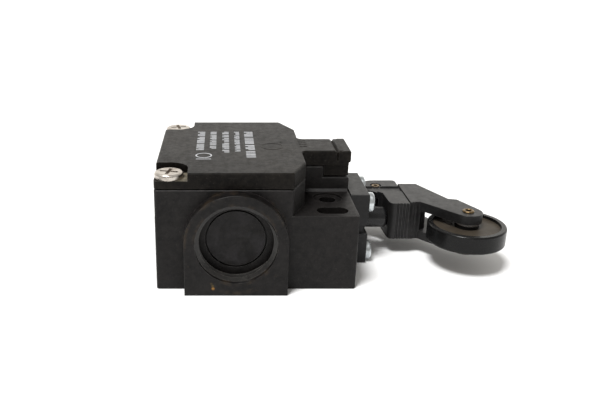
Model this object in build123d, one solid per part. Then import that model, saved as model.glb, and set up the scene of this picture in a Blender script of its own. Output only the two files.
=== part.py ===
"""Position limit switch: thermoplastic case with two M20 side entries, screwed and hooked cover,
square four-screw head and an offset roller lever.

Frame, in millimetres: +X runs from the case towards the head and lever, +Y across the case,
+Z from the mounting face to the cover. The origin is midway between the two round fixing
holes, on the mounting face.
"""
from build123d import *
import math
import os

os.makedirs("parts", exist_ok=True)

# ---------------------------------------------------------------- driving dimensions
# Case and cover
case_length = 49.4
case_width = 49.0
case_height = 30.2
end_x = 6.1                # end face that carries the head
parting_z = 26.0           # top of the housing's rim
cover_low_z = 26.2         # underside of the cover, held up by its gasket
cover_recess_z = 28.2      # floor of the corner recess round each cover screw
shoulder_z = 19.3          # top of the low shoulders beside the neck
neck_x = -6.4              # end wall of the tall part of the case
neck_width = 12.0
neck_step_x = -0.5         # where the neck drops to clear the cover's hook
neck_low_z = 23.0
cut_x = -10.1              # where the corner cut of the tall part begins
cut_y = 15.8               # where the corner cut ends on the neck wall
wall = 2.6
floor_z = 2.5

# Cable entries, one on each long side
entry_x = -23.65
entry_z = 13.25
entry_radius = 10.0        # M20 x 1.5
boss_radius = 12.6
boss_proud = 3.6
entry_depth = 4.3
knockout_radius = 7.15
knockout_groove = 0.4

# Fixing holes through the shoulders
hole_y = 11.1
hole_radius = 2.15
spotface_radius = 3.7
slot_y = 20.4
slot_length = 7.8
slot_width = 4.4

# Head, plunger and their axis
axis_z = 9.6
head_half_width = 9.5
head_z0 = 0.0
head_z1 = 19.3
head_face_x = 11.4
head_gasket_thickness = 0.4
head_screw_y = 6.75
head_screw_z = 6.85        # above and below the plunger axis
spigot_radius = 6.5
bush_x0 = 3.7
bush_radius = 4.2
seal_x0 = 9.9
plunger_radius = 2.85
plunger_tip_x = 18.0
plunger_end_x = -10.95
plunger_travel = 4.73
stem_radius = 1.6
running_gap = 0.05

# Lever, fork and roller
pivot_x = 17.2
pivot_y = 11.5
pivot_radius = 1.1
ear_radius = 4.4
lever_z0 = 4.5
lever_z1 = 14.8
lever_near_y = -3.7
lever_end_x = 23.6
fork_half_height = 5.4
fork_start_x = 23.8
fork_screw_y = 2.0
fork_seat_x = 26.6         # seat of the washer under the fork screw
arm_thickness = 2.5
arm_end_radius = 3.65
roller_x = 37.1
roller_y = -10.0
roller_z = 9.35
roller_radius = 10.0
roller_thickness = 4.7
roller_bush_radius = 1.9
roller_hub_radius = 3.1
axle_radius = 1.25
axle_bore = 0.75

# Contact block inside the case
block_x0 = -38.2
block_x1 = -9.7
block_half_width = 11.0
block_z0 = floor_z
block_top_z = 15.0
lid_top_z = 17.0
block_screw_x = -35.6
block_screw_y = 8.4
channel_x0 = -36.0
channel_half = 3.6
channel_z0 = 4.6
carrier_x0 = -27.0
carrier_x1 = -11.0
pocket_x0 = -28.0
window_half_height = 2.6
bridge_half_length = 9.0
bridge_thickness = 0.5
tip_radius = 0.9
tip_height = 0.4
strip_thickness = 0.6
terminal_y = 7.4           # contact tips and terminal screws, to each side of the middle
nc_bridge_x = -14.0        # back face of the bridge that is closed at rest
no_bridge_x = -20.6        # back face of the bridge that is open at rest
nc_terminal_x = -16.2
no_terminal_x = -23.8

# Values that follow
left_x = end_x - case_length
half_y = case_width / 2
neck_half = neck_width / 2
head_back_x = end_x + head_gasket_thickness
cavity_end_x = neck_x - wall
cover_screw_x = left_x + 3.5
cover_screw_y = half_y - 3.55
sides = (-1, 1)
head_screw_places = [(sy * head_screw_y, axis_z + sz * head_screw_z) for sy in sides for sz in sides]
nc_strip_x = nc_bridge_x + bridge_thickness + 2 * tip_height + running_gap
no_strip_x = no_bridge_x - plunger_travel - 2 * tip_height - 2 * running_gap - strip_thickness
window_spans = [(nc_bridge_x - 3.2, nc_bridge_x + bridge_thickness + 0.3),
                (no_bridge_x - 0.3, no_bridge_x + bridge_thickness + 2.7)]


# ---------------------------------------------------------------- helpers
def block(x0, x1, y0, y1, z0, z1):
    """Box between two corners."""
    return Pos((x0 + x1) / 2, (y0 + y1) / 2, (z0 + z1) / 2) * Box(x1 - x0, y1 - y0, z1 - z0)


def rod_x(radius, x0, x1, y=0.0, z=axis_z):
    """Cylinder along X."""
    return Pos((x0 + x1) / 2, y, z) * Rot(0, 90, 0) * Cylinder(radius, x1 - x0)


def rod_y(radius, y0, y1, x, z):
    """Cylinder along Y."""
    return Pos(x, (y0 + y1) / 2, z) * Rot(90, 0, 0) * Cylinder(radius, y1 - y0)


def rod_z(radius, z0, z1, x, y):
    """Cylinder along Z."""
    return Pos(x, y, (z0 + z1) / 2) * Cylinder(radius, z1 - z0)


def raise_plan(plan, z0, z1):
    """Extrude a plan sketch between two heights."""
    return extrude(Pos(0, 0, z0) * plan, z1 - z0)


def slot_z(length, width, z0, z1, x, y):
    """Round-ended slot along X, as a solid to cut with."""
    straight = (length - width) / 2
    body = block(x - straight, x + straight, y - width / 2, y + width / 2, z0, z1)
    return body + rod_z(width / 2, z0, z1, x - straight, y) + rod_z(width / 2, z0, z1, x + straight, y)


def coil_x(mean_radius, wire, x0, x1, turns):
    """Round-wire compression spring along the plunger axis."""
    length = x1 - x0 - wire
    path = Helix(length / turns, length, mean_radius)
    section = Plane(path @ 0, z_dir=path % 0) * Circle(wire / 2)
    return Pos(x0 + wire / 2, 0, axis_z) * Rot(0, 90, 0) * sweep(section, path=path, is_frenet=True)


def keep(node, shape):
    """Write one node. A node of several pieces is a compound of separate solids."""
    pieces = shape if isinstance(shape, list) else [shape]
    solids = [solid for piece in pieces for solid in piece.solids()]
    result = solids[0] if len(solids) == 1 else Compound(children=solids)
    export_step(result, f"parts/{node}.step")


# ---------------------------------------------------------------- case
def tall_plan(inset=0.0, corner=1.0):
    """Plan of the tall part: a rectangle whose two neck-side corners are cut off."""
    outline = Polyline(
        (left_x, -half_y), (cut_x, -half_y), (neck_x, -cut_y),
        (neck_x, cut_y), (cut_x, half_y), (left_x, half_y), close=True)
    plan = make_face(outline)
    if inset:
        plan = offset(plan, -inset, kind=Kind.INTERSECTION)
    return fillet(plan.vertices(), corner)


def neck_plan(x1):
    """Tall part and neck together, with a radius where the neck leaves the wall."""
    neck = Pos((neck_x + x1 - 1) / 2, 0) * Rectangle(x1 - neck_x + 1, neck_width)
    plan = tall_plan() + neck
    inner = [v for v in plan.vertices() if abs(v.X - neck_x) < 0.01 and abs(abs(v.Y) - neck_half) < 0.01]
    plan = fillet(inner, 1.6)
    outer = [v for v in plan.vertices() if abs(v.X - x1) < 0.01]
    return fillet(outer, 0.5)


def entry_boss(side):
    """Arched boss round a cable entry, flat at the bottom and level with the mounting face."""
    face_y = side * (half_y + boss_proud)
    y0, y1 = sorted((side * (half_y - 1), face_y))
    arch = rod_y(boss_radius, y0, y1, entry_x, entry_z)
    legs = block(entry_x - boss_radius, entry_x + boss_radius, y0, y1, 0, entry_z)
    boss = arch + legs
    rim = boss.faces().sort_by(Axis.Y)[0 if side < 0 else -1].edges()
    rounded = [edge for edge in rim if edge.center().Z > 0.1]
    return fillet(rounded, 0.2)


def make_housing():
    low = block(left_x, end_x, -half_y, half_y, 0, shoulder_z)
    low = fillet(low.edges().filter_by(Axis.Z), 0.7)
    low = chamfer(low.faces().sort_by(Axis.Z)[0].edges(), 0.1)
    low = fillet(low.faces().sort_by(Axis.Z)[-1].edges(), 0.25)
    tall = raise_plan(neck_plan(neck_step_x), 1.0, parting_z)
    tall = chamfer(tall.faces().sort_by(Axis.Z)[-1].edges(), 0.2)
    neck = block(neck_step_x - 2, end_x, -neck_half, neck_half, 1.0, neck_low_z)
    neck = fillet(neck.faces().sort_by(Axis.Z)[-1].edges(), 0.3)
    # sloping foot where the neck stands on the shoulders
    foot = make_face(Polyline((-neck_half - 0.6, shoulder_z), (-neck_half, shoulder_z + 0.6),
                              (neck_half, shoulder_z + 0.6), (neck_half + 0.6, shoulder_z), close=True))
    foot = Pos(end_x - 0.3, 0, 0) * extrude(Plane.YZ * foot, neck_x - end_x)
    housing = low + tall + neck + foot
    for side in sides:
        housing += entry_boss(side)

    # hollow interior, with a corner post left standing for each cover screw
    hollow = raise_plan(tall_plan(wall, 1.5), floor_z, parting_z + 1)
    for side in sides:
        hollow -= rod_z(3.4, floor_z, parting_z + 1, cover_screw_x, side * cover_screw_y)
        hollow -= block(left_x, cover_screw_x, *sorted((side * (cover_screw_y - 3.4), side * half_y)),
                        floor_z, parting_z + 1)
    housing -= hollow

    # gasket groove in the rim
    groove = raise_plan(tall_plan(0.9), parting_z - 1, parting_z + 1)
    housing -= groove - raise_plan(tall_plan(1.9), parting_z - 1, parting_z + 1)

    for side in sides:
        housing -= rod_z(1.4, 12, parting_z + 1, cover_screw_x, side * cover_screw_y)
        # cable entry down to its knock-out disc, and the thin ring that lets the disc break out
        face_y = side * (half_y + boss_proud)
        disc_y = face_y - side * entry_depth
        housing -= rod_y(entry_radius, *sorted((face_y + side, disc_y)), entry_x, entry_z)
        ring_y = disc_y - side * 0.9
        ring = rod_y(knockout_radius + knockout_groove, *sorted((disc_y, ring_y)), entry_x, entry_z)
        housing -= ring - rod_y(knockout_radius, *sorted((disc_y, ring_y)), entry_x, entry_z)
        # fixing holes
        housing -= rod_z(hole_radius, -1, shoulder_z + 1, 0, side * hole_y)
        housing -= rod_z(spotface_radius, shoulder_z - 0.6, shoulder_z + 1, 0, side * hole_y)
        housing -= slot_z(slot_length, slot_width, -1, shoulder_z + 1, 0, side * slot_y)
        # threaded holes for the contact block screws
        housing -= rod_z(1.2, 0.8, floor_z + 1, block_screw_x, side * block_screw_y)

    # bore for the head's spigot, and the wall that the plunger's stem passes
    housing -= rod_x(spigot_radius + running_gap, neck_x, end_x + 1)
    housing -= rod_x(stem_radius + running_gap, cavity_end_x - 1, neck_x + 1)
    for y, z in head_screw_places:
        housing -= rod_x(1.3, -4.5, end_x + 1, y, z)
    return housing


def corner_recess(side):
    """Open corner pocket round a cover screw, with a round inner corner."""
    size_x, size_y = 8.1, 8.7
    pocket = Pos(left_x - 5 + (size_x + 5) / 2, side * (half_y + 5 - (size_y + 5) / 2)) \
        * Rectangle(size_x + 5, size_y + 5)
    inner = [v for v in pocket.vertices()
             if v.X > left_x + size_x - 0.1 and abs(v.Y) < half_y - size_y + 0.1]
    return raise_plan(fillet(inner, 4.4), cover_recess_z, case_height + 1)


def make_cover():
    shell = raise_plan(neck_plan(end_x - 0.1), cover_low_z, case_height)
    shell = fillet(shell.faces().sort_by(Axis.Z)[-1].edges(), 0.5)
    shell = chamfer(shell.faces().sort_by(Axis.Z)[0].edges(), 0.15)
    # the nose end hooks down over the stepped neck, under an overhanging tab
    hook_half = neck_half - 0.5
    hook = block(neck_step_x + 0.1, end_x - 0.15, -hook_half, hook_half, 23.3, cover_low_z + 0.5)
    hook = chamfer(hook.faces().sort_by(Axis.Z)[0].edges(), 0.2)
    tab = block(3.9, end_x + 0.4, -neck_half, neck_half, 27.1, case_height)
    tab = fillet(tab.edges().filter_by(Axis.Y) + tab.faces().sort_by(Axis.X)[-1].edges().filter_by(Axis.Z), 0.6)
    cover = shell + hook + tab
    hollow = raise_plan(tall_plan(wall, 1.5), cover_low_z - 1, 28.2)
    for side in sides:
        x1 = left_x + 10.5
        hollow -= block(left_x, x1, *sorted((side * (half_y - 11), side * half_y)), cover_low_z - 1, 28.2)
    cover -= hollow
    for side in sides:
        cover -= corner_recess(side)
        cover -= rod_z(1.6, cover_low_z - 1, case_height, cover_screw_x, side * cover_screw_y)
    # finger groove across the nose, steeper on the tab's side, and carried down both flanks
    groove = make_face(Polyline((1.9, case_height + 0.2), (2.95, case_height - 0.6),
                                (3.45, case_height + 0.2), close=True))
    cover -= extrude(Plane.XZ * groove, half_y, both=True)
    for side in sides:
        cover -= Pos(2.95, side * (neck_half + 0.4), 29.2) * Rot(0, 0, 45) * Box(1.0, 1.0, 3.4)
    return cover


def make_cover_gasket():
    """Rectangular cord that fills the rim's groove and holds the cover just off the rim."""
    ring = raise_plan(tall_plan(0.95), parting_z - 0.95, cover_low_z)
    return ring - raise_plan(tall_plan(1.85), parting_z - 0.95, cover_low_z)


def cross_recess(size, depth, top):
    """Crossed slots in a screw head, cut from the head's top face."""
    bar = Pos(0, 0, top - depth / 2 + 0.5) * Box(size, size * 0.19, depth + 1)
    return bar + Rot(0, 0, 90) * bar


def pan_screw(head_radius, head_height, shank_radius, length):
    """Pan-head screw along Z: the underside of the head is at Z = 0."""
    head = Cylinder(head_radius, head_height, align=(Align.CENTER, Align.CENTER, Align.MIN))
    head = fillet(head.faces().sort_by(Axis.Z)[-1].edges(), head_height * 0.45)
    shank = Cylinder(shank_radius, length, align=(Align.CENTER, Align.CENTER, Align.MAX))
    shank = chamfer(shank.faces().sort_by(Axis.Z)[0].edges(), shank_radius * 0.3)
    return head + shank - cross_recess(head_radius * 1.25, head_height * 0.6, head_height)


def make_cover_screws():
    return [Pos(cover_screw_x, side * cover_screw_y, cover_recess_z) * Rot(0, 0, 12 * side)
            * pan_screw(3.5, 1.4, 1.4, 15.5) for side in sides]


# ---------------------------------------------------------------- head and plunger
def make_head_body():
    half = head_half_width
    plate = block(head_back_x, head_face_x, -half, half, head_z0, head_z1)
    plate = fillet(plate.edges().filter_by(Axis.X), 0.4)
    plate = fillet(plate.faces().sort_by(Axis.X)[-1].edges(), 0.25)
    head = plate + rod_x(spigot_radius, neck_x + 0.5, head_back_x + 1)
    # tongue that carries the lever's pivot
    tongue = make_face(Polyline((head_face_x - 1, 5.2), (head_face_x, 5.2), (15.0, 8.25), (pivot_x, pivot_y),
                                (15.0, 14.7), (head_face_x, 9.2), (head_face_x - 1, 9.2), close=True))
    tongue += Pos(pivot_x, pivot_y) * Circle(3.9)
    head += raise_plan(tongue, axis_z - 3.0, axis_z + 3.0)
    head -= rod_z(pivot_radius + running_gap, 0, case_height, pivot_x, pivot_y)
    # bores for the spring, the guide bush and the wiper seal
    head -= rod_x(4.6, neck_x, bush_x0)
    head -= rod_x(bush_radius, bush_x0 - 1, seal_x0)
    head -= rod_x(bush_radius + 0.2, seal_x0, head_face_x + 1)
    # the plate is nicked halfway up each side, and the near nick opens into a notch in the face
    nick = block(head_back_x - 1, head_face_x + 1, half - 1.0, half + 1, axis_z - 1.3, axis_z + 1.3)
    notch = block(head_face_x - 1.0, head_face_x + 1, -half - 1, -5.2, axis_z - 1.3, axis_z + 1.3)
    head -= nick + mirror(nick, Plane.XZ) + notch
    for y, z in head_screw_places:
        head -= rod_x(1.7, neck_x, head_face_x + 1, y, z)
    return head


def make_head_gasket():
    half = head_half_width - 0.5
    sheet = block(end_x, head_back_x, -half, half, head_z0 + 0.5, head_z1 - 0.5)
    sheet = fillet(sheet.edges().filter_by(Axis.X), 1.4)
    sheet -= rod_x(spigot_radius + 0.1, end_x - 1, head_back_x + 1)
    for y, z in head_screw_places:
        sheet -= rod_x(1.7, end_x - 1, head_back_x + 1, y, z)
    return sheet


def make_head_screws():
    screw = Rot(0, 90, 0) * pan_screw(2.6, 1.5, 1.3, 15.0)
    return [Pos(head_face_x, y, z) * Rot(17 * index, 0, 0) * screw
            for index, (y, z) in enumerate(head_screw_places)]


def make_guide_bush():
    return rod_x(bush_radius, bush_x0, seal_x0 - 0.1) \
        - rod_x(plunger_radius + running_gap, bush_x0 - 1, seal_x0 + 1)


def make_plunger_seal():
    ring = rod_x(bush_radius + 0.15, seal_x0, head_face_x - 0.25)
    ring -= rod_x(plunger_radius + running_gap, seal_x0 - 1, head_face_x + 1)
    lip = Cone(3.7, 3.2, 0.7, align=(Align.CENTER, Align.CENTER, Align.MIN))
    lip = Pos(head_face_x - 0.25, 0, axis_z) * Rot(0, 90, 0) * lip
    return ring + lip - rod_x(plunger_radius + running_gap, seal_x0 - 1, head_face_x + 1)


def make_plunger():
    """Round rod with a rounded tip, a ring groove and a thin stem down to the contact carrier."""
    rod = rod_x(plunger_radius, 2.9, plunger_tip_x)
    rod = fillet(rod.faces().sort_by(Axis.X)[-1].edges(), 1.0)
    rod -= rod_x(5, 2.95, 3.6) - rod_x(2.2, 2.95, 3.6)
    return rod + rod_x(stem_radius, plunger_end_x, 3.0)


def make_retaining_ring():
    ring = rod_x(4.0, 3.0, 3.55) - rod_x(2.25, 2.0, 4.0)
    mouth = block(2.0, 4.0, -2.0, 2.0, axis_z, axis_z + 6)
    return ring - mouth


def make_plunger_spring():
    return coil_x(3.1, 0.6, neck_x + 0.05, 2.85, 5)


# ---------------------------------------------------------------- lever
def make_inner_lever():
    """Lever hub: a rounded ear above and below the tongue, and the block that presses the plunger."""
    plan = make_face(Polyline(
        (pivot_x, pivot_y), (pivot_x, pivot_y + ear_radius), (lever_end_x, pivot_y + ear_radius),
        (lever_end_x, lever_near_y), (18.3, lever_near_y), (18.15, -1.4), (17.95, 4.8), (15.6, 7.3),
        close=True))
    plan += Pos(pivot_x, pivot_y) * Circle(ear_radius)
    near_corner = [v for v in plan.vertices() if abs(v.X - 18.3) < 0.01 and abs(v.Y - lever_near_y) < 0.01]
    plan = fillet(near_corner, 1.6)
    far_corner = [v for v in plan.vertices() if v.X > lever_end_x - 0.01 and v.Y > pivot_y + 1]
    plan = fillet(far_corner, 1.0)
    lever = raise_plan(plan, lever_z0, lever_z1)
    lever = fillet(lever.faces().sort_by(Axis.Z)[-1].edges(), 0.12)
    # space for the tongue
    gap_low, gap_high = axis_z - 3.1, axis_z + 3.1
    lever -= rod_z(4.2, gap_low, gap_high, pivot_x, pivot_y)
    lever -= block(head_face_x, pivot_x, 5.7, pivot_y + 6, gap_low, gap_high)
    lever -= rod_z(pivot_radius, 0, case_height, pivot_x, pivot_y)
    lever -= rod_z(1.6, lever_z1 - 0.3, lever_z1 + 1, pivot_x, pivot_y)
    # shallow groove across the top, and the moulded flutes of the near face
    lever -= block(head_face_x, lever_end_x + 1, 6.2, pivot_y - 1.1, lever_z1 - 0.4, lever_z1 + 1)
    for step in range(4):
        flute_x = 20.4 + 0.85 * step
        lever -= rod_z(0.3, lever_z0 - 1, lever_z1 + 1, flute_x, lever_near_y)
    lever -= rod_x(1.25, 19.8, lever_end_x + 1, fork_screw_y, axis_z)
    return lever


def make_pivot_pin():
    """Hollow pin whose upper end sits in a shallow pocket of the lever's top."""
    pin = rod_z(pivot_radius, lever_z0, lever_z1 - 0.05, pivot_x, pivot_y)
    return pin - rod_z(0.6, lever_z1 - 1.2, case_height, pivot_x, pivot_y)


def tangent_point(start, centre, radius, side):
    """Point where a line from start touches the circle, on the given side of it."""
    reach = math.dist(start, centre)
    toward = math.atan2(start[1] - centre[1], start[0] - centre[0])
    angle = toward + side * math.acos(radius / reach)
    return centre[0] + radius * math.cos(angle), centre[1] + radius * math.sin(angle)


def fork_plan():
    """Web across the lever's end, then an arm that leans towards the axle and widens at its far side."""
    axle = (roller_x, roller_y)
    elbow_near = (26.4, -2.75)
    lean = (0.42, -0.9075)                       # direction of the arm's far side
    end_x1 = roller_x - arm_end_radius * lean[1]
    end_y1 = roller_y + arm_end_radius * lean[0]
    step_y = -0.9
    step_x = end_x1 + (step_y - end_y1) * lean[0] / lean[1]
    arm = make_face(Polyline(
        (fork_start_x, -3.3), elbow_near, tangent_point(elbow_near, axle, arm_end_radius, 1), axle,
        (end_x1, end_y1), (step_x, step_y), (34.66, -0.3), (28.9, 12.2), (fork_start_x, 12.2), close=True))
    return arm + Pos(*axle) * Circle(arm_end_radius)


def make_roller_fork():
    low = axis_z - fork_half_height
    high = axis_z + fork_half_height
    fork = raise_plan(fork_plan(), low, high)
    fork = fillet(fork.faces().sort_by(Axis.Z)[-1].edges(), 0.12)
    fork = fillet(fork.faces().sort_by(Axis.Z)[0].edges(), 0.2)
    # roller slot: its inner wall slants away from the roller
    slot = make_face(Polyline((26.7, -20), (26.7, -2.5), (28.5, -1.4), (30.6, 6.2), (31.5, 20),
                              (60, 20), (60, -20), close=True))
    fork -= raise_plan(slot, low + arm_thickness, high - arm_thickness)
    fork -= rod_z(axle_radius, 0, case_height, roller_x, roller_y)
    # flutes that carry on from the lever's
    for flute_x, flute_y in ((24.5, -3.15), (25.3, -2.98)):
        fork -= rod_z(0.25, low - 1, high + 1, flute_x, flute_y)
    # raised seat on the lever's end, screw hole and counterbore
    fork += rod_x(3.0, lever_end_x, fork_start_x + 0.5, fork_screw_y)
    fork -= rod_x(1.6, lever_end_x - 1, 30, fork_screw_y)
    fork -= rod_x(2.7, fork_seat_x, 34, fork_screw_y)
    return fork


def make_fork_screw():
    return Pos(fork_seat_x + 0.6, fork_screw_y, axis_z) * Rot(0, 90, 0) * pan_screw(2.1, 1.5, 1.25, 7.0)


def make_fork_washer():
    ring = rod_x(2.5, fork_seat_x, fork_seat_x + 0.6, fork_screw_y) \
        - rod_x(1.35, fork_seat_x - 1, fork_seat_x + 1, fork_screw_y)
    split = Pos(fork_seat_x + 0.3, fork_screw_y + 2.0, axis_z) * Rot(20, 0, 0) * Box(1.4, 3.0, 0.3)
    return ring - split


def make_roller():
    """Flat roller: a raised rim and a hub, with a shallow recess between them on both faces."""
    half = roller_thickness / 2
    roller = Pos(roller_x, roller_y, roller_z) * Cylinder(roller_radius, roller_thickness)
    roller = fillet(roller.faces().filter_by(Axis.Z).edges(), 0.45)
    for side in sides:
        z0, z1 = sorted((roller_z + side * (half - 0.8), roller_z + side * (half + 1)))
        dish = rod_z(8.6, z0, z1, roller_x, roller_y)
        roller -= dish - rod_z(roller_hub_radius, z0, z1, roller_x, roller_y)
    return roller - rod_z(roller_bush_radius, 0, case_height, roller_x, roller_y)


def make_roller_bush():
    half = roller_thickness / 2
    tube = rod_z(roller_bush_radius, roller_z - half, roller_z + half, roller_x, roller_y)
    return tube - rod_z(axle_radius + running_gap, 0, case_height, roller_x, roller_y)


def make_roller_axle():
    """Hollow rivet, rolled over at both ends."""
    axle = rod_z(axle_radius, axis_z - fork_half_height, axis_z + fork_half_height, roller_x, roller_y)
    for side in sides:
        lip = Pos(roller_x, roller_y, axis_z + side * (fork_half_height + 0.2)) * Cylinder(1.5, 0.4)
        outer = lip.faces().sort_by(Axis.Z)[-1 if side > 0 else 0].edges()
        axle += fillet(outer, 0.3)
    axle -= rod_z(axle_bore, 0, case_height, roller_x, roller_y)
    ends = [edge for edge in axle.edges().filter_by(GeomType.CIRCLE)
            if abs(edge.radius - axle_bore) < 0.01]
    return fillet(ends, 0.25)


def make_roller_spacers():
    gap_z0 = axis_z - fork_half_height + arm_thickness
    gap_z1 = axis_z + fork_half_height - arm_thickness
    half = roller_thickness / 2 + running_gap
    rings = []
    for z0, z1 in ((gap_z0, roller_z - half), (roller_z + half, gap_z1)):
        ring = rod_z(2.9, z0, z1, roller_x, roller_y)
        rings.append(ring - rod_z(axle_radius, z0 - 1, z1 + 1, roller_x, roller_y))
    return rings


# ---------------------------------------------------------------- contact block
def make_contact_base():
    base = block(block_x0, block_x1, -block_half_width, block_half_width, block_z0, block_top_z)
    base = fillet(base.edges().filter_by(Axis.Z), 0.8)
    base -= block(channel_x0, block_x1 + 1, -channel_half, channel_half, channel_z0, block_top_z + 1)
    base -= block(pocket_x0, block_x1 - 1.6, -9.8, 9.8, 6.0, block_top_z + 1)
    for side in sides:
        base -= rod_z(1.5, 0, block_top_z + 1, block_screw_x, side * block_screw_y)
    return base


def make_contact_lid():
    lid = block(block_x0, block_x1, -block_half_width, block_half_width, block_top_z, lid_top_z)
    lid = fillet(lid.edges().filter_by(Axis.Z), 0.8)
    for side in sides:
        lid -= rod_z(1.5, 0, case_height, block_screw_x, side * block_screw_y)
        for strip_x in (nc_strip_x, no_strip_x):
            lid -= block(strip_x - 0.05, strip_x + strip_thickness + 0.05,
                         *sorted((side * 5.1, side * 9.7)), block_top_z - 1, lid_top_z + 1)
        for terminal_x in (nc_terminal_x, no_terminal_x):
            lid -= rod_z(1.35, block_top_z - 1, lid_top_z + 1, terminal_x, side * terminal_y)
    return lid


def make_block_screws():
    return [Pos(block_screw_x, side * block_screw_y, lid_top_z) * pan_screw(2.4, 1.6, 1.2, 16.1)
            for side in sides]


def make_contact_carrier():
    """Slider with one window for each bridge."""
    carrier = block(carrier_x0, carrier_x1, -channel_half + running_gap, channel_half - running_gap,
                    channel_z0 + running_gap, block_top_z - running_gap)
    carrier = fillet(carrier.edges().filter_by(Axis.X), 0.4)
    for x0, x1 in window_spans:
        carrier -= block(x0, x1, -5, 5, axis_z - window_half_height, axis_z + window_half_height)
    return carrier


def make_bridge(back_x, press):
    """Contact bridge across the carrier, with a silver-faced tip at each end."""
    strip = block(back_x, back_x + bridge_thickness, -bridge_half_length, bridge_half_length,
                  axis_z - 1.5, axis_z + 1.5)
    strip = fillet(strip.edges().filter_by(Axis.X), 0.6)
    face = back_x + bridge_thickness if press > 0 else back_x
    for side in sides:
        x0, x1 = sorted((face - press * 0.2, face + press * tip_height))
        strip += rod_x(tip_radius, x0, x1, side * terminal_y)
    return strip


def make_strip(strip_x, pad_end_x, tip_side, terminal_x, side):
    """Fixed contact: an upright blade with a contact tip, bent over to a terminal pad above the lid."""
    y0, y1 = sorted((side * 5.2, side * 9.6))
    blade = block(strip_x, strip_x + strip_thickness, y0, y1, 7.4, lid_top_z + strip_thickness)
    x0, x1 = sorted((strip_x, pad_end_x))
    pad = block(x0, x1 + (strip_thickness if pad_end_x < strip_x else 0), y0, y1,
                lid_top_z, lid_top_z + strip_thickness)
    strip = blade + pad
    face = strip_x if tip_side < 0 else strip_x + strip_thickness
    t0, t1 = sorted((face - tip_side * 0.2, face + tip_side * tip_height))
    strip += rod_x(tip_radius, t0, t1, side * terminal_y)
    return strip - rod_z(1.25, lid_top_z - 1, lid_top_z + 2, terminal_x, side * terminal_y)


def terminal_places():
    return [(x, side * terminal_y) for x in (nc_terminal_x, no_terminal_x) for side in sides]


def make_terminal_clamps():
    low = lid_top_z + strip_thickness + 0.05
    clamps = []
    for x, y in terminal_places():
        plate = block(x - 2.3, x + 2.3, y - 2.3, y + 2.3, low, low + 0.8)
        plate = fillet(plate.edges().filter_by(Axis.Z), 0.5)
        clamps.append(plate - rod_z(1.35, low - 1, low + 2, x, y))
    return clamps


def make_terminal_screws():
    low = lid_top_z + strip_thickness + 0.9
    return [Pos(x, y, low) * Rot(0, 0, 31 * index) * pan_screw(2.1, 1.6, 1.25, 4.0)
            for index, (x, y) in enumerate(terminal_places())]


# ---------------------------------------------------------------- write every node
keep("housing", make_housing())
keep("cover", make_cover())
keep("cover_gasket", make_cover_gasket())
keep("cover_screws", make_cover_screws())
keep("head_body", make_head_body())
keep("head_gasket", make_head_gasket())
keep("head_screws", make_head_screws())
keep("plunger_guide_bush", make_guide_bush())
keep("plunger_seal", make_plunger_seal())
keep("plunger", make_plunger())
keep("plunger_retaining_ring", make_retaining_ring())
keep("plunger_return_spring", make_plunger_spring())
keep("inner_lever", make_inner_lever())
keep("pivot_pin", make_pivot_pin())
keep("roller_fork", make_roller_fork())
keep("fork_screw", make_fork_screw())
keep("fork_spring_washer", make_fork_washer())
keep("roller", make_roller())
keep("roller_bush", make_roller_bush())
keep("roller_axle", make_roller_axle())
keep("roller_spacers", make_roller_spacers())
keep("contact_block_base", make_contact_base())
keep("contact_block_lid", make_contact_lid())
keep("contact_block_screws", make_block_screws())
keep("contact_carrier", make_contact_carrier())
keep("nc_contact_bridge", make_bridge(nc_bridge_x, 1))
keep("no_contact_bridge", make_bridge(no_bridge_x, -1))
keep("nc_contact_spring", coil_x(1.7, 0.4, nc_bridge_x - 3.15, nc_bridge_x - 0.05, 4))
keep("no_contact_spring", coil_x(1.7, 0.4, no_bridge_x + bridge_thickness + 0.05,
                                 no_bridge_x + bridge_thickness + 2.65, 4))
keep("carrier_return_spring", coil_x(2.2, 0.5, channel_x0 + 0.05, carrier_x0 - 0.05, 6))
for side, side_name in ((-1, "near"), (1, "far")):
    keep(f"nc_terminal_{side_name}", make_strip(nc_strip_x, nc_strip_x - 5.8, -1, nc_terminal_x, side))
    keep(f"no_terminal_{side_name}", make_strip(no_strip_x, no_strip_x + 5.4, 1, no_terminal_x, side))
keep("terminal_clamps", make_terminal_clamps())
keep("terminal_screws", make_terminal_screws())
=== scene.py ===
"""Looks of the limit switch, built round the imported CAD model.

Units are metres, in the part's own frame: +X runs from the case to the head and lever, +Y across
the case, and +Z from the mounting face to the cover. Most sizes are written in millimetres and
multiplied by MM.
"""
import math
import random

import bmesh
import bpy
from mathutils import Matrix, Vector


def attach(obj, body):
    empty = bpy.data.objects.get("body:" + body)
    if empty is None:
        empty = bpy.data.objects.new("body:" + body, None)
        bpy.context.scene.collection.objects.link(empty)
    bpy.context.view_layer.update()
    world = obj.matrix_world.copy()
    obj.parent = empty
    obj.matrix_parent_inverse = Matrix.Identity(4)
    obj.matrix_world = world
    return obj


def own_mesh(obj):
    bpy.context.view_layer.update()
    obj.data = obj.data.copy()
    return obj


MM = 0.001
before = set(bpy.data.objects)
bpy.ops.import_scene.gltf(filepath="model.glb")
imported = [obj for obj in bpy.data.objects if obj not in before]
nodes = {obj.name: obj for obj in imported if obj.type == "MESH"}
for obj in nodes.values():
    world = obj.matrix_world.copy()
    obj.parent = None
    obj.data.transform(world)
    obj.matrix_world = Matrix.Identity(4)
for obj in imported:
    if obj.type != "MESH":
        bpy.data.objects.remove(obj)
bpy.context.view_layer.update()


# ---------------------------------------------------------------- places, in millimetres
COVER_TOP = 30.2
POCKET_FLOOR = 28.2            # floor of the corner pockets round the cover screws
POCKET_X = (-38.0, -35.4)      # where the painted highlight lies on the floor of the near pocket
POCKET_Y = (-24.3, -18.0)
NEAR_SIDE_Y = -20.0            # the near side's stains stay on this side of it
ENTRY_X, ENTRY_Z = -23.65, 13.25
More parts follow.
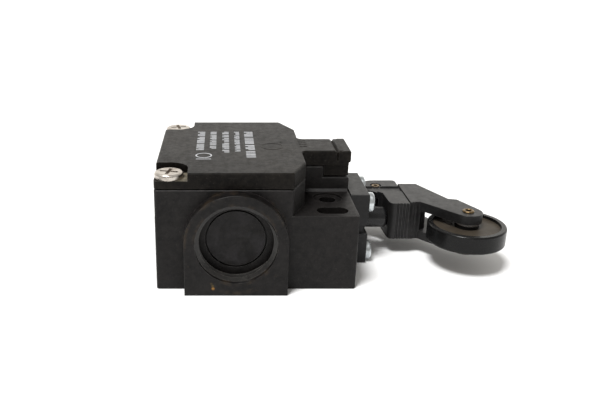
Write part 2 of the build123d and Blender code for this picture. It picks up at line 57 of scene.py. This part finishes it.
ENTRY_FACE = 28.1              # distance of each entry's outer face from the middle
ENTRY_DEPTH = 4.3
ENTRY_RIM = (9.9, 10.4)        # radii of the stained lines and of the knock-out disc
ENTRY_ARCH = (12.2, 12.8)
DISC_RADIUS = 7.1
THREAD_ROOT = 10.0             # radii of the entry's thread
THREAD_CREST = 9.08
THREAD_PITCH = 1.5
THREAD_INSET = 0.7             # from the entry's face to the first turn
THREAD_SPARE = 1.3             # how much shorter than the entry the thread is
ROLLER_X, ROLLER_Y, ROLLER_Z = 37.1, -10.0, 9.35
RECESS_RADII = (3.2, 8.45)     # the roller's recess, between its hub and its rim
RECESS_HALF = 1.6              # the recess floors are nearer to the roller's middle than this
PRINT_LOW, PRINT_HIGH = COVER_TOP - 0.01, COVER_TOP + 0.025
PRINT_START_Y = 13.0
MARKS_LOW, MARKS_HIGH = COVER_TOP - 0.02, COVER_TOP + 0.05


# ---------------------------------------------------------------- materials
class Shader:
    """A small helper that adds nodes to one material."""

    def __init__(self, name):
        self.material = bpy.data.materials.new(name)
        self.material.use_nodes = True
        self.tree = self.material.node_tree
        self.tree.nodes.clear()
        self.out = self.add("ShaderNodeOutputMaterial")
        self.shader = self.add("ShaderNodeBsdfPrincipled")
        self.link(self.shader.outputs[0], self.out.inputs["Surface"])
        self.coordinates = self.add("ShaderNodeTexCoord").outputs["Object"]

    def add(self, kind, **values):
        node = self.tree.nodes.new(kind)
        for key, value in values.items():
            setattr(node, key, value)
        return node

    def link(self, source, target):
        self.tree.links.new(source, target)

    def set(self, **values):
        """Constants on the shader's own sockets."""
        for key, value in values.items():
            self.shader.inputs[key.replace("_", " ")].default_value = value

    def noise(self, scale, detail=3.0, roughness=0.55, distortion=0.0, stretch=None):
        node = self.add("ShaderNodeTexNoise")
        node.inputs["Scale"].default_value = scale
        node.inputs["Detail"].default_value = detail
        node.inputs["Roughness"].default_value = roughness
        node.inputs["Distortion"].default_value = distortion
        source = self.coordinates
        if stretch:
            mapping = self.add("ShaderNodeMapping")
            mapping.inputs["Scale"].default_value = stretch
            self.link(source, mapping.inputs["Vector"])
            source = mapping.outputs["Vector"]
        self.link(source, node.inputs["Vector"])
        return node.outputs["Fac"]

    def ramp(self, source, stops):
        """Maps a value to greys: stops is a pair of (position, grey)."""
        node = self.add("ShaderNodeValToRGB")
        for element, (position, grey) in zip(node.color_ramp.elements, stops):
            element.position = position
            element.color = (grey, grey, grey, 1.0)
        self.link(source, node.inputs["Fac"])
        return node.outputs["Color"]

    def mix(self, factor, a, b):
        """Colour mix: a and b are colours or sockets. The numbers are the node's colour sockets."""
        node = self.add("ShaderNodeMix", data_type="RGBA")
        self.put(factor, node.inputs["Factor"])
        self.put(a, node.inputs[6])
        self.put(b, node.inputs[7])
        return node.outputs[2]

    def math(self, operation, a, b=0.0, c=None, clamp=False):
        node = self.add("ShaderNodeMath", operation=operation, use_clamp=clamp)
        self.put(a, node.inputs[0])
        self.put(b, node.inputs[1])
        if c is not None:
            self.put(c, node.inputs[2])
        return node.outputs[0]

    def put(self, value, target):
        """Sets a socket to a constant, or links another socket to it."""
        if isinstance(value, bpy.types.NodeSocket):
            self.link(value, target)
        elif isinstance(value, tuple):
            target.default_value = (*value, 1.0)
        else:
            target.default_value = value

    def bump(self, height, strength, distance):
        node = self.add("ShaderNodeBump")
        node.inputs["Strength"].default_value = strength
        node.inputs["Distance"].default_value = distance
        self.link(height, node.inputs["Height"])
        return node.outputs["Normal"]

    def position(self, axis):
        node = self.add("ShaderNodeSeparateXYZ")
        self.link(self.coordinates, node.inputs[0])
        return node.outputs[axis]

    def distance(self, x, y, axes=(0, 1)):
        """Distance in millimetres from the point (x, y) on those two axes, whatever the third."""
        across = self.math("SUBTRACT", self.position(axes[0]), x * MM)
        along = self.math("SUBTRACT", self.position(axes[1]), y * MM)
        square = self.math("ADD", self.math("MULTIPLY", across, across),
                           self.math("MULTIPLY", along, along))
        return self.math("DIVIDE", self.math("SQRT", square), MM)

    def band(self, value, low, high, soft):
        """1 between low and high, falling to 0 over soft."""
        rise = self.math("DIVIDE", self.math("SUBTRACT", value, low - soft), soft, clamp=True)
        fall = self.math("DIVIDE", self.math("SUBTRACT", high + soft, value), soft, clamp=True)
        return self.math("MULTIPLY", rise, fall)

    def edge_wear_and_highlight(self, spread):
        """1 on sharp outer edges and 0 elsewhere, broken up by noise: the mask for rubbed wear and
        for a painted edge highlight.
        """
        geometry = self.add("ShaderNodeNewGeometry")
        bevel = self.add("ShaderNodeBevel", samples=4)
        bevel.inputs["Radius"].default_value = spread
        dot = self.add("ShaderNodeVectorMath", operation="DOT_PRODUCT")
        self.link(geometry.outputs["Normal"], dot.inputs[0])
        self.link(bevel.outputs["Normal"], dot.inputs[1])
        turned = self.math("SUBTRACT", 1.0, dot.outputs["Value"])
        edge = self.ramp(turned, [(0.01, 0.0), (0.12, 1.0)])
        broken = self.ramp(self.noise(700.0, 4.0, 0.7), [(0.38, 0.0), (0.62, 1.0)])
        return self.math("MULTIPLY", edge, broken)


def moulded_plastic(name, dark, light, rough, grain=1.0, specular=0.22, dust=0.12, wear_and_highlight=0.8):
    """Moulded plastic: fine sparked grain, cloudy tone, pale dust specks, and pale edges that are
    partly rubbed wear and partly a painted highlight.
    """
    s = Shader(name)
    cloud = s.math("ADD", s.math("MULTIPLY", s.noise(90.0, 4.0, 0.6), 0.45),
                   s.math("MULTIPLY", s.noise(650.0, 5.0, 0.7), 0.55))
    colour = s.mix(s.ramp(cloud, [(0.38, 0.0), (0.62, 1.0)]), dark, light)
    # dust: single specks, more of them in some patches than in others
    patches = s.ramp(s.noise(130.0, 3.0, 0.6), [(0.35, 0.25), (0.7, 1.0)])
    specks = s.ramp(s.noise(2400.0, 1.0, 0.4), [(0.66, 0.0), (0.76, 1.0)])
    dusty = s.math("MULTIPLY", s.math("MULTIPLY", specks, patches), dust)
    colour = s.mix(dusty, colour, (0.12, 0.11, 0.10))
    # pale edges: partly rubbed wear, partly a painted highlight where edges would catch the light
    rubbed_and_highlit = tuple(c * 3.0 + 0.035 for c in light)
    colour = s.mix(s.math("MULTIPLY", s.edge_wear_and_highlight(0.25 * MM), wear_and_highlight), colour, rubbed_and_highlit)
    s.link(colour, s.shader.inputs["Base Color"])
    mottle = s.noise(620.0, 5.0, 0.7)
    scuffs = s.noise(900.0, 3.0, 0.6, stretch=(1.0, 0.12, 1.0))
    uneven = s.math("ADD", s.math("MULTIPLY", mottle, 0.34), s.math("MULTIPLY", scuffs, 0.12))
    s.link(s.math("ADD", uneven, rough - 0.23), s.shader.inputs["Roughness"])
    coarse = s.noise(2200.0, 2.0, 0.5)
    fine = s.noise(6500.0, 2.0, 0.6)
    height = s.math("ADD", s.math("MULTIPLY", coarse, 0.6), s.math("MULTIPLY", fine, 0.4))
    s.link(s.bump(height, 0.6 * grain, 0.08 * MM), s.shader.inputs["Normal"])
    s.set(Specular_IOR_Level=specular, IOR=1.5)
    return s


def tint(s, amount, colour):
    """Mixes one more colour over the shader's base colour."""
    base = s.shader.inputs["Base Color"].links[0].from_socket
    s.link(s.mix(amount, base, colour), s.shader.inputs["Base Color"])


def housing_material():
    """Case plastic with faint brown lines round the near entry, and smears on its disc."""
    s = moulded_plastic("moulded_case", (0.0012, 0.0009, 0.0009), (0.0108, 0.0093, 0.0088), 0.50)
    reach = s.distance(ENTRY_X, ENTRY_Z, (0, 2))
    near_side = s.math("LESS_THAN", s.position(1), NEAR_SIDE_Y * MM)
    blotches = s.ramp(s.noise(230.0, 4.0, 0.7), [(0.50, 0.0), (0.64, 1.0)])
    rim = s.math("MULTIPLY", s.band(reach, *ENTRY_RIM, 0.5), near_side)
    arch = s.math("MULTIPLY", s.band(reach, *ENTRY_ARCH, 0.4), near_side)
    lines = s.math("ADD", rim, arch, clamp=True)
    tint(s, s.math("MULTIPLY", s.math("MULTIPLY", lines, blotches), 0.4),
         (0.045, 0.031, 0.018))
    # cloudy grey smears on the knock-out disc
    disc = s.math("MULTIPLY", s.band(reach, 0.0, DISC_RADIUS, 0.1), near_side)
    smears = s.ramp(s.noise(210.0, 3.0, 0.55, 0.8), [(0.42, 0.0), (0.70, 1.0)])
    tint(s, s.math("MULTIPLY", s.math("MULTIPLY", disc, smears), 0.8),
         (0.024, 0.022, 0.024))
    # a short run of dried brown paint under the entry
    for spot_x, spot_z, radius, strength, colour in (
            (ENTRY_X - 5.6, 1.9, 0.15, 0.85, (0.30, 0.15, 0.035)),
            (ENTRY_X - 5.7, 2.6, 0.12, 0.60, (0.11, 0.075, 0.02)),
            (ENTRY_X - 6.0, 3.2, 0.10, 0.45, (0.07, 0.05, 0.02))):
        spot = s.band(s.distance(spot_x, spot_z, (0, 2)), 0.0, radius, 0.35)
        tint(s, s.math("MULTIPLY", s.math("MULTIPLY", spot, near_side), strength), colour)
    return s.material


def cover_material():
    """Cover plastic, a little warmer, with fine rubbed lines, a faint film of dust, and a painted
    highlight on the floor of the near screw's pocket.
    """
    s = moulded_plastic("moulded_cover", (0.0016, 0.0011, 0.0008), (0.0115, 0.0096, 0.0076), 0.45,
                        specular=0.11, dust=0.16, wear_and_highlight=0.7)
    rubbing = s.noise(1400.0, 3.0, 0.6, stretch=(0.05, 1.0, 1.0))
    lines = s.ramp(rubbing, [(0.62, 0.0), (0.72, 1.0)])
    tint(s, s.math("MULTIPLY", lines, 0.10), (0.10, 0.095, 0.09))
    # painted highlight: a pale beige patch on the floor of the near screw's pocket, where light
    # falls
    height = s.math("DIVIDE", s.position(2), MM)
    across = s.math("DIVIDE", s.position(1), MM)
    along = s.math("DIVIDE", s.position(0), MM)
    pocket = s.math("MULTIPLY", s.band(height, POCKET_FLOOR - 0.1, POCKET_FLOOR + 0.1, 0.1),
                    s.band(across, *POCKET_Y, 0.1))
    pocket = s.math("MULTIPLY", pocket, s.band(along, *POCKET_X, 0.4))
    pocket_highlight_patches = s.ramp(s.noise(380.0, 3.0, 0.6), [(0.36, 0.2), (0.60, 1.0)])
    tint(s, s.math("MULTIPLY", s.math("MULTIPLY", pocket, pocket_highlight_patches), 0.8),
         (0.20, 0.175, 0.13))
    return s.material


def head_material():
    """Head plastic, a neutral grey-black."""
    return moulded_plastic("moulded_head", (0.007, 0.007, 0.0072), (0.015, 0.015, 0.0155), 0.44,
                           grain=0.8, specular=0.25, dust=0.15).material


def lever_material():
    """Lever plastic, smoother and greyer than the case, with short moulding flow marks."""
    s = moulded_plastic("moulded_lever", (0.0080, 0.0078, 0.0078), (0.0145, 0.0140, 0.0140), 0.40,
                        grain=0.6, specular=0.26, dust=0.15, wear_and_highlight=0.9)
    flow = s.ramp(s.noise(160.0, 3.0, 0.55, 1.2, stretch=(1.0, 0.35, 1.0)),
                  [(0.45, 0.0), (0.65, 1.0)])
    tint(s, s.math("MULTIPLY", flow, 0.35), (0.022, 0.022, 0.022))
    return s.material


def rubber_material():
    """Dull black rubber of the seal and the gaskets."""
    s = Shader("seal_rubber_black")
    s.link(s.mix(s.noise(300.0), (0.005, 0.005, 0.005), (0.012, 0.011, 0.011)),
           s.shader.inputs["Base Color"])
    s.link(s.math("MULTIPLY_ADD", s.noise(900.0), 0.2, 0.6), s.shader.inputs["Roughness"])
    s.link(s.bump(s.noise(3000.0), 0.3, 0.05 * MM), s.shader.inputs["Normal"])
    s.set(Specular_IOR_Level=0.3)
    return s.material


def metal_material(name, colour, stain, rough, brush=(1.0, 1.0, 1.0), tarnish=0.35, dirt=0.3):
    """Plated metal with fine rubbed lines, cloudy tarnish and dark dirt in small patches."""
    s = Shader(name)
    cloud = s.ramp(s.noise(350.0, 4.0, 0.65), [(0.4, 0.0), (0.75, 1.0)])
    s.link(s.mix(s.math("MULTIPLY", cloud, tarnish), colour, stain), s.shader.inputs["Base Color"])
    grime = s.ramp(s.noise(650.0, 3.0, 0.6), [(0.5, 0.0), (0.66, 1.0)])
    tint(s, s.math("MULTIPLY", grime, dirt), tuple(c * 0.18 for c in stain))
    lines = s.noise(1500.0, 3.0, 0.6, stretch=brush)
    s.link(s.math("MULTIPLY_ADD", lines, 0.2, rough - 0.08), s.shader.inputs["Roughness"])
    s.link(s.bump(lines, 0.25, 0.03 * MM), s.shader.inputs["Normal"])
    s.set(Metallic=1.0)
    return s.material


def roller_material():
    """Turned roller: shiny rim and hub, with a duller grey-brown recess that shows tool rings."""
    s = Shader("turned_roller")
    reach = s.distance(ROLLER_X, ROLLER_Y)
    inner = s.band(reach, *RECESS_RADII, 0.15)
    height = s.math("ABSOLUTE", s.math("SUBTRACT", s.position(2), ROLLER_Z * MM))
    recess = s.math("MULTIPLY", inner, s.math("LESS_THAN", height, RECESS_HALF * MM))
    cloud = s.noise(260.0, 4.0, 0.6)
    polished = s.mix(cloud, (0.003, 0.003, 0.003), (0.008, 0.008, 0.008))
    dull = s.mix(cloud, (0.020, 0.015, 0.010), (0.066, 0.054, 0.040))
    s.link(s.mix(recess, polished, dull), s.shader.inputs["Base Color"])
    nicks = s.ramp(s.noise(1300.0, 3.0, 0.6), [(0.66, 0.0), (0.74, 1.0)])
    tint(s, s.math("MULTIPLY", nicks, 0.25), (0.09, 0.085, 0.08))
    rings = s.math("SINE", s.math("MULTIPLY", reach, 42.0))
    rough = s.math("MULTIPLY_ADD", recess, 0.25, 0.20)
    s.link(s.math("MULTIPLY_ADD", s.noise(500.0), 0.12, rough), s.shader.inputs["Roughness"])
    relief = s.math("ADD", s.math("MULTIPLY", rings, 0.25), s.noise(2500.0))
    s.link(s.bump(relief, 0.25, 0.04 * MM), s.shader.inputs["Normal"])
    s.set(Specular_IOR_Level=0.2)
    return s.material


def print_material():
    """White screen print, thin in places so that the plastic shows through."""
    s = Shader("white_print_ink")
    worn = s.ramp(s.noise(1600.0, 3.0, 0.6), [(0.55, 0.0), (0.75, 1.0)])
    s.link(s.mix(s.math("MULTIPLY", worn, 0.6), (0.46, 0.47, 0.49), (0.17, 0.17, 0.17)),
           s.shader.inputs["Base Color"])
    s.link(s.math("MULTIPLY_ADD", s.noise(1500.0), 0.2, 0.5), s.shader.inputs["Roughness"])
    s.link(s.bump(s.noise(4000.0), 0.2, 0.03 * MM), s.shader.inputs["Normal"])
    s.set(Specular_IOR_Level=0.4)
    return s.material


finishes = {
    "housing_plastic": housing_material(),
    "cover_plastic": cover_material(),
    "head_plastic": head_material(),
    "lever_plastic": lever_material(),
    "seal_rubber": rubber_material(),
    "roller_plastic": roller_material(),
    "plunger_plastic": moulded_plastic(
        "polished_plunger", (0.005, 0.005, 0.0055), (0.010, 0.010, 0.0105), 0.28,
        grain=0.3, specular=0.35, dust=0.05).material,
    "contact_plastic": moulded_plastic(
        "contact_block_grey", (0.12, 0.12, 0.13), (0.17, 0.17, 0.18), 0.5).material,
    "carrier_plastic": moulded_plastic(
        "carrier_natural", (0.48, 0.46, 0.40), (0.60, 0.58, 0.52), 0.48).material,
    "nickel_plate": metal_material(
        "nickel_plate_worn", (0.60, 0.56, 0.51), (0.24, 0.17, 0.12), 0.34, tarnish=0.6),
    "zinc_plate": metal_material("zinc_plate_dull", (0.62, 0.66, 0.68), (0.34, 0.35, 0.33), 0.30),
    "brass": metal_material(
        "brass_dark", (0.27, 0.19, 0.095), (0.085, 0.05, 0.024), 0.34, tarnish=0.75),
    "spring_steel": metal_material(
        "spring_wire", (0.50, 0.50, 0.51), (0.28, 0.27, 0.27), 0.30, brush=(1, 6, 6)),
    "contact_alloy": metal_material(
        "contact_copper", (0.72, 0.54, 0.34), (0.40, 0.26, 0.15), 0.34),
}

slots = {
    "housing_plastic": ["housing"],
    "cover_plastic": ["cover"],
    "head_plastic": ["head_body"],
    "seal_rubber": ["cover_gasket", "head_gasket", "plunger_seal"],
    "nickel_plate": ["cover_screws", "plunger_retaining_ring"],
    "zinc_plate": ["head_screws", "fork_screw", "terminal_screws", "contact_block_screws",
                   "terminal_clamps"],
    "plunger_plastic": ["plunger"],
    "lever_plastic": ["inner_lever", "roller_fork"],
    "roller_plastic": ["roller"],
    "brass": ["plunger_guide_bush", "pivot_pin", "roller_bush", "roller_axle"],
    "spring_steel": ["plunger_return_spring", "fork_spring_washer", "nc_contact_spring",
                     "no_contact_spring", "carrier_return_spring", "roller_spacers"],
    "contact_plastic": ["contact_block_base", "contact_block_lid"],
    "carrier_plastic": ["contact_carrier"],
    "contact_alloy": ["nc_contact_bridge", "no_contact_bridge", "nc_terminal_near",
                      "nc_terminal_far", "no_terminal_near", "no_terminal_far"],
}
for finish, names in slots.items():
    for name in names:
        piece = nodes[name]
        piece.data.materials.clear()
        piece.data.materials.append(finishes[finish])


# ---------------------------------------------------------------- pieces
def new_piece(name, build, material):
    """Turns a bmesh in metres into a piece that rides on the case."""
    mesh = bpy.data.meshes.new(name)
    bmesh.ops.recalc_face_normals(build, faces=build.faces[:])
    build.to_mesh(mesh)
    build.free()
    mesh.materials.append(material)
    piece = bpy.data.objects.new(name, mesh)
    bpy.context.scene.collection.objects.link(piece)
    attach(piece, "case")
    return piece


def make_thread(name, side):
    """M20 thread: one ridge that winds down the entry and dies out into the wall at both ends."""
    per_turn = 96
    run_out_steps = 16
    flattest = 0.04                # the ridge's height at its ends, as a share of its full height
    crest_half, foot_half = 0.12, 0.66
    sunk = THREAD_ROOT + 0.03      # the ridge's foot is just inside the wall
    wall = THREAD_ROOT + 0.02
    start = ENTRY_FACE - THREAD_INSET
    turns = (ENTRY_DEPTH - THREAD_SPARE) / THREAD_PITCH
    count = round(per_turn * turns)
    build = bmesh.new()
    rings = []
    for step in range(count + 1):
        angle = 2 * math.pi * step / per_turn
        depth = start - THREAD_PITCH * step / per_turn
        run_out = min(1.0, step / run_out_steps, (count - step) / run_out_steps)
        crest = wall - (wall - THREAD_CREST) * max(run_out, flattest)
        section = ((sunk, -foot_half), (crest, -crest_half), (crest, crest_half), (sunk, foot_half))
        rings.append([build.verts.new((
            (ENTRY_X + radius * math.cos(angle)) * MM,
            side * (depth + offset) * MM,
            (ENTRY_Z + radius * math.sin(angle)) * MM)) for radius, offset in section])
    for first, second in zip(rings, rings[1:]):
        for a in range(4):
            b = (a + 1) % 4
            build.faces.new((first[a], first[b], second[b], second[a]))
    build.faces.new(rings[0])
    build.faces.new(rings[-1])
    new_piece(name, build, thread_painted_highlight_finish)


def add_slab(build, corners, low, high):
    """Closed slab over a convex outline, in millimetres."""
    bottom = [build.verts.new((x * MM, y * MM, low * MM)) for x, y in corners]
    top = [build.verts.new((x * MM, y * MM, high * MM)) for x, y in corners]
    build.faces.new(bottom[::-1])
    build.faces.new(top)
    for a in range(len(corners)):
        b = (a + 1) % len(corners)
        build.faces.new((bottom[a], bottom[b], top[b], top[a]))


def rectangle(x0, x1, y0, y1, cut=0.0):
    """Outline of a rectangle, with its corners cut off if asked."""
    if not cut:
        return [(x0, y0), (x1, y0), (x1, y1), (x0, y1)]
    return [(x0 + cut, y0), (x1 - cut, y0), (x1, y0 + cut), (x1, y1 - cut),
            (x1 - cut, y1), (x0 + cut, y1), (x0, y1 - cut), (x0, y0 + cut)]


def add_ring(build, x, y, inner, outer, low, high, segments=64):
    """Closed flat ring, in millimetres."""
    loops = []
    for radius, z in ((inner, low), (outer, low), (outer, high), (inner, high)):
        loops.append([build.verts.new((
            (x + radius * math.cos(2 * math.pi * step / segments)) * MM,
            (y + radius * math.sin(2 * math.pi * step / segments)) * MM,
            z * MM)) for step in range(segments)])
    for ring, following in zip(loops, loops[1:] + loops[:1]):
        for a in range(segments):
            b = (a + 1) % segments
            build.faces.new((ring[a], ring[b], following[b], following[a]))


def make_print():
    """Rows of plain dashes, a plain ring and a bar stand for the white print: no lettering."""
    build = bmesh.new()
    rows = random.Random(7)
    low, high = PRINT_LOW, PRINT_HIGH
    # both edges of each row along X, and the Y where it ends
    for x0, x1, end_y in ((-33.8, -31.8, -5.0), (-30.3, -28.6, -3.8), (-27.0, -25.2, -8.0),
                          (-23.7, -22.3, -6.4), (-20.9, -18.5, -11.6)):
        height = x1 - x0
        y = PRINT_START_Y
        left_in_group = rows.randint(4, 7)
        while y > end_y + height * 0.2:
            width = height * rows.uniform(0.13, 0.30)
            short = rows.choice((0.0, 0.0, 0.28))
            add_slab(build, rectangle(x0 + short * height, x1, y - width, y), low, high)
            y -= width + height * rows.uniform(0.16, 0.24)
            left_in_group -= 1
            if not left_in_group:
                left_in_group = rows.randint(4, 8)
                y -= height * 0.35
    add_ring(build, -31.7, -9.9, 1.75, 2.1, low, high, 48)
    add_slab(build, rectangle(-33.6, -29.8, -13.2, -12.8), low, high)
    new_piece("cover_print", build, print_material())


def make_cover_marks():
    """Raised moulding marks on the cover: a ring with a pip beside it, and a few plain ticks."""
    build = bmesh.new()
    add_ring(build, -13.9, -1.6, 2.75, 2.95, MARKS_LOW, MARKS_HIGH)
    add_ring(build, -11.3, 2.4, 0.05, 0.3, MARKS_LOW, COVER_TOP + 0.04, 24)
    for step in range(4):
        y = -1.8 + 1.8 * step
        add_slab(build, rectangle(-6.6, -4.6, y, y + 0.28, 0.08), MARKS_LOW, MARKS_HIGH)
        add_slab(build, rectangle(-5.2, -4.6, y + 0.5, y + 1.2, 0.08), MARKS_LOW, MARKS_HIGH)
    new_piece("cover_moulding_marks", build, finishes["cover_plastic"])


# painted highlight: the thread is the case plastic made paler, with full pale edges, so that its
# crests show as lit lines
thread_painted_highlight_finish = moulded_plastic(
    "moulded_thread_painted_highlight", (0.004, 0.0037, 0.0035), (0.020, 0.018, 0.016), 0.34,
    grain=0.5, specular=0.4, dust=0.3, wear_and_highlight=1.0).material
make_thread("entry_thread_near", -1)
make_thread("entry_thread_far", 1)
make_print()
make_cover_marks()

# The two return springs, each listed with its slide joint, get meshes of their own.
for spring, joint in (("plunger_return_spring", "plunger_slide"),
                      ("carrier_return_spring", "carrier_slide")):
    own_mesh(nodes[spring])


# ---------------------------------------------------------------- camera, light and floor
def make_camera():
    """The photograph's view, solved from the straight edges of the case."""
    pitch_down = 20.37
    data = bpy.data.cameras.new("camera")
    data.lens = 42.96
    data.sensor_width = 36.0
    data.shift_x = 0.1293
    camera = bpy.data.objects.new("camera", data)
    bpy.context.scene.collection.objects.link(camera)
    camera.location = Vector((-26.97, -183.8, 82.72)) * MM
    camera.rotation_euler = (math.radians(90 - pitch_down), 0.0, 0.0)
    data.clip_start, data.clip_end = 0.01, 10.0
    bpy.context.scene.camera = camera


def make_floor():
    """Pale floor, a hair below the mounting face so that the two don't coincide."""
    mesh = bpy.data.meshes.new("floor")
    build = bmesh.new()
    bmesh.ops.create_grid(build, x_segments=2, y_segments=2, size=3.0)
    build.to_mesh(mesh)
    build.free()
    floor = bpy.data.objects.new("floor", mesh)
    bpy.context.scene.collection.objects.link(floor)
    floor.location = (0, 0, -0.02 * MM)
    s = Shader("studio_floor")
    s.link(s.mix(s.noise(3.0), (0.86, 0.86, 0.86), (0.88, 0.88, 0.88)),
           s.shader.inputs["Base Color"])
    s.set(Roughness=0.9, Specular_IOR_Level=0.1)
    mesh.materials.append(s.material)


def make_sun():
    """The key light: a wide, distant softbox above the near left, so that shadows stay soft."""
    data = bpy.data.lights.new("key_softbox", "SUN")
    data.energy = 3.4
    data.angle = math.radians(17)
    lamp = bpy.data.objects.new("key_softbox", data)
    bpy.context.scene.collection.objects.link(lamp)
    toward_light = Vector((-0.26, -0.30, 0.90))
    lamp.rotation_euler = toward_light.to_track_quat("Z", "Y").to_euler()


def make_world():
    """A plain white room, brighter behind the object than above and in front of it."""
    world = bpy.data.worlds.new("studio")
    world.use_nodes = True
    tree = world.node_tree
    background = tree.nodes["Background"]
    direction = tree.nodes.new("ShaderNodeTexCoord").outputs["Generated"]
    parts = tree.nodes.new("ShaderNodeSeparateXYZ")
    tree.links.new(direction, parts.inputs[0])

    def level(socket, stops):
        ramp = tree.nodes.new("ShaderNodeValToRGB")
        ramp.color_ramp.interpolation = "EASE"
        for element, (position, grey) in zip(ramp.color_ramp.elements, stops):
            element.position = position
            element.color = (grey, grey, grey, 1.0)
        tree.links.new(socket, ramp.inputs["Fac"])
        return ramp.outputs["Color"]

    behind = level(parts.outputs["Y"], ((0.2, 0.0), (0.8, 1.0)))
    low_down = level(parts.outputs["Z"], ((0.35, 1.0), (0.75, 0.0)))
    wall = tree.nodes.new("ShaderNodeMath")
    wall.operation = "MULTIPLY"
    tree.links.new(behind, wall.inputs[0])
    tree.links.new(low_down, wall.inputs[1])
    strength = tree.nodes.new("ShaderNodeMath")
    strength.operation = "MULTIPLY_ADD"
    tree.links.new(wall.outputs[0], strength.inputs[0])
    strength.inputs[1].default_value = 1.00
    strength.inputs[2].default_value = 0.47
    tree.links.new(strength.outputs[0], background.inputs["Strength"])
    background.inputs["Color"].default_value = (1.0, 0.975, 0.93, 1.0)
    bpy.context.scene.world = world


make_camera()
make_floor()
make_world()
make_sun()
bpy.context.scene.view_settings.view_transform = "Standard"
